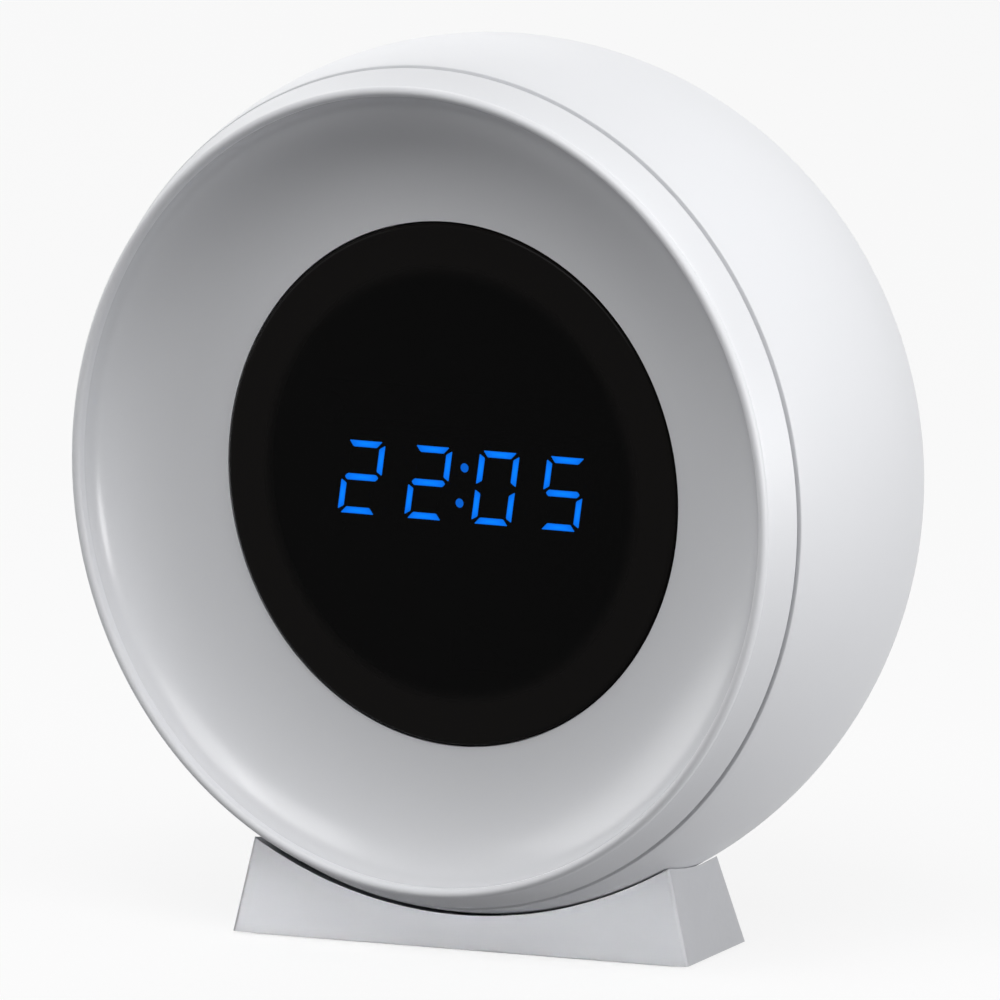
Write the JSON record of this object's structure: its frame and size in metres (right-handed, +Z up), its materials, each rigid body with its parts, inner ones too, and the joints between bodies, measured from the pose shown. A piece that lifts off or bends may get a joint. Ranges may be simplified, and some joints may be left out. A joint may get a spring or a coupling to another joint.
{
  "type": "night light clock",
  "caption": "Round white digital clock with a lit bowl round its dark face, on a low wedge stand that it swivels on.",
  "frame": {"origin": "on the table under the stand, on the vertical swivel axis and under the middle of the head", "axes": "+Z up; the face looks along -Y; +X is to the right of someone who looks at the face"},
  "size_m": [0.115, 0.0559, 0.1187],
  "materials": {
    "white_gloss": "gloss",
    "opal_white": "gloss",
    "white_matte": "matte",
    "smoked_glass": "gloss",
    "black_tape": "matte",
    "white_inner": "matte",
    "board_white": "satin",
    "chip_yellow": "gloss",
    "black_inner": "matte",
    "segment_blue": "gloss",
    "segment_dark": "satin",
    "board_green": "satin",
    "cell_metal": "satin",
    "steel": "satin",
    "stand_paint": "satin",
    "foot_rubber": "matte",
    "washer_nylon": "satin",
    "button_grey": "satin"
  },
  "bodies": {
    "stand": {"stand_block": "stand_paint", "foot_pad": "foot_rubber", "swivel_washer": "washer_nylon", "swivel_retainer": "steel", "swivel_screw": "steel"},
    "head": {"rear_shell": "white_gloss", "front_ring": "white_gloss", "light_bowl": "opal_white", "display_lens": "smoked_glass", "lens_tape": "black_tape", "inner_deck": "white_inner", "light_board": "board_white", "light_chips": "chip_yellow", "display_module": "black_inner", "lit_segments": "segment_blue", "dark_segments": "segment_dark", "colon_dots": "segment_blue", "display_board": "board_green", "driver_chip": "black_inner", "rear_cover": "white_matte", "control_board": "board_green", "control_chip": "black_inner", "sounder": "black_inner", "backup_cell": "cell_metal", "cell_clip": "steel", "tact_switches": "black_inner", "charge_inlet": "steel", "case_screws": "steel", "cover_screws": "steel", "display_screws": "steel", "control_screws": "steel"},
    "set_button": {"set_button": "button_grey"},
    "up_button": {"up_button": "button_grey"},
    "down_button": {"down_button": "button_grey"},
    "light_button": {"light_button": "button_grey"}
  },
  "joints": [
    {"name": "swivel", "type": "hinge", "parent": "stand", "child": "head", "pos_m": [0, 0, 0.008], "axis": [0, 0, 1], "range_deg": [-36.6, 53.4]},
    {"name": "set_button_press", "type": "slide", "parent": "head", "child": "set_button", "axis": [0, -1, 0], "range_m": [0, 0.0005], "stiffness_N_per_m": 400},
    {"name": "up_button_press", "type": "slide", "parent": "head", "child": "up_button", "axis": [0, -1, 0], "range_m": [0, 0.0005], "stiffness_N_per_m": 400},
    {"name": "down_button_press", "type": "slide", "parent": "head", "child": "down_button", "axis": [0, -1, 0], "range_m": [0, 0.0005], "stiffness_N_per_m": 400},
    {"name": "light_button_press", "type": "slide", "parent": "head", "child": "light_button", "axis": [0, -1, 0], "range_m": [0, 0.0005], "stiffness_N_per_m": 400}
  ]
}
